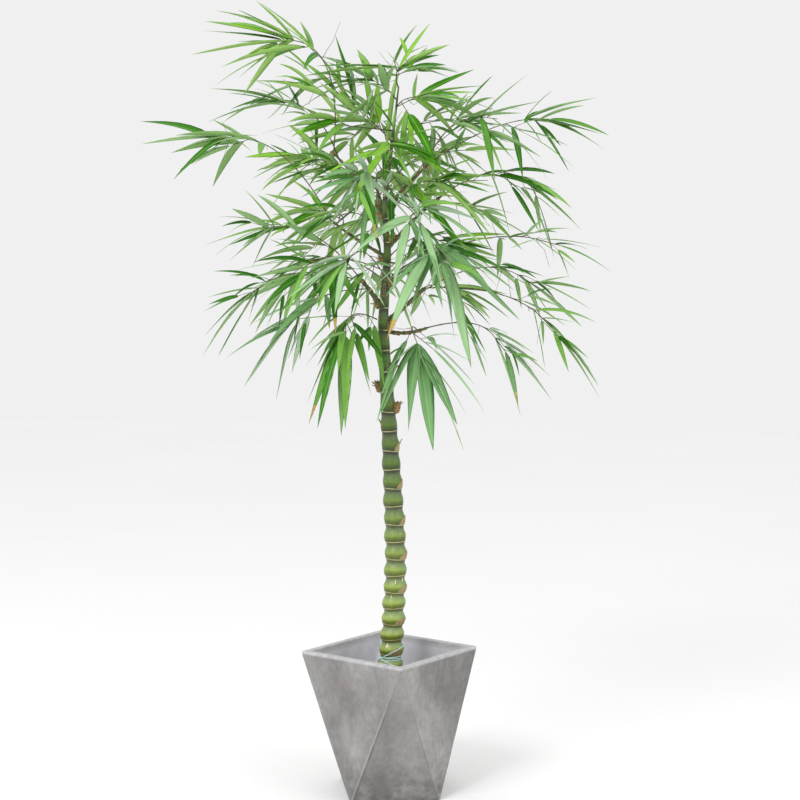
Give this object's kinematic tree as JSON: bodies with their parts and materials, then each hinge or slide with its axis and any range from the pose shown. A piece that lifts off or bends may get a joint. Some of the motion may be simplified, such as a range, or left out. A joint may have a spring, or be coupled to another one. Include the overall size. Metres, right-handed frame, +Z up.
{
  "type": "potted bamboo plant",
  "caption": "Potted bamboo plant: one swollen-jointed culm with arching leafy branches in a square faceted concrete planter that stands on its flat underside.",
  "frame": {"origin": "centre of the planter's flat underside", "axes": "+Z up the culm, -Y to the viewer's side of the picture, +X to the picture's right"},
  "size_m": [1.0213, 0.8727, 1.7253],
  "materials": {
    "concrete": "brushed grey cement with a worn pale rim",
    "potting_mix": "loose bark-based potting mix, dull",
    "culm_skin": "smooth yellow-green to grey-green bamboo skin with tan rings",
    "twine": "soft pale green plastic twine",
    "branch_skin": "olive-brown branch with papery sheaths",
    "foliage": "satin lance-shaped leaves, vivid to grey-green"
  },
  "bodies": {
    "root": {"planter": "concrete", "soil": "potting_mix", "culm": "culm_skin", "tie": "twine", "bough_left_low": "branch_skin", "bough_left_middle": "branch_skin", "bough_left_high": "branch_skin", "bough_right_lowest": "branch_skin", "bough_right_low": "branch_skin", "bough_right_middle": "branch_skin", "bough_right_upper": "branch_skin", "bough_right_high": "branch_skin", "bough_front_low": "branch_skin", "bough_front_high": "branch_skin", "bough_back_low": "branch_skin", "bough_back_high": "branch_skin", "leaves_top": "foliage", "leaves_top_long": "foliage", "leaves_top_left_spikes": "foliage", "leaves_top_front": "foliage", "leaves_crown_left": "foliage", "leaves_crown_right": "foliage", "leaves_crown_front": "foliage", "leaves_crown_back": "foliage", "leaves_top_left": "foliage", "leaves_high_left": "foliage", "leaves_far_left": "foliage", "leaves_inner_left_high": "foliage", "leaves_inner_left": "foliage", "leaves_left": "foliage", "leaves_left_low": "foliage", "leaves_left_lower": "foliage", "leaves_left_hanging": "foliage", "leaves_heart_left": "foliage", "leaves_left_front": "foliage", "leaves_front_left": "foliage", "leaves_front_high": "foliage", "leaves_front": "foliage", "leaves_front_low_right": "foliage", "leaves_front_right": "foliage", "leaves_heart_right": "foliage", "leaves_right_lowest": "foliage", "leaves_far_right_low": "foliage", "leaves_right_low": "foliage", "leaves_far_right": "foliage", "leaves_right": "foliage", "leaves_high_right": "foliage", "leaves_high_right_front": "foliage", "leaves_inner_right_high": "foliage", "leaves_inner_right": "foliage", "leaves_inner_front": "foliage", "leaves_inner_right_low": "foliage", "leaves_back_low": "foliage", "leaves_back_right": "foliage", "leaves_back_left": "foliage", "leaves_back": "foliage", "leaves_back_high_left": "foliage", "leaves_back_high_right": "foliage", "leaves_back_top": "foliage"}
  },
  "joints": []
}
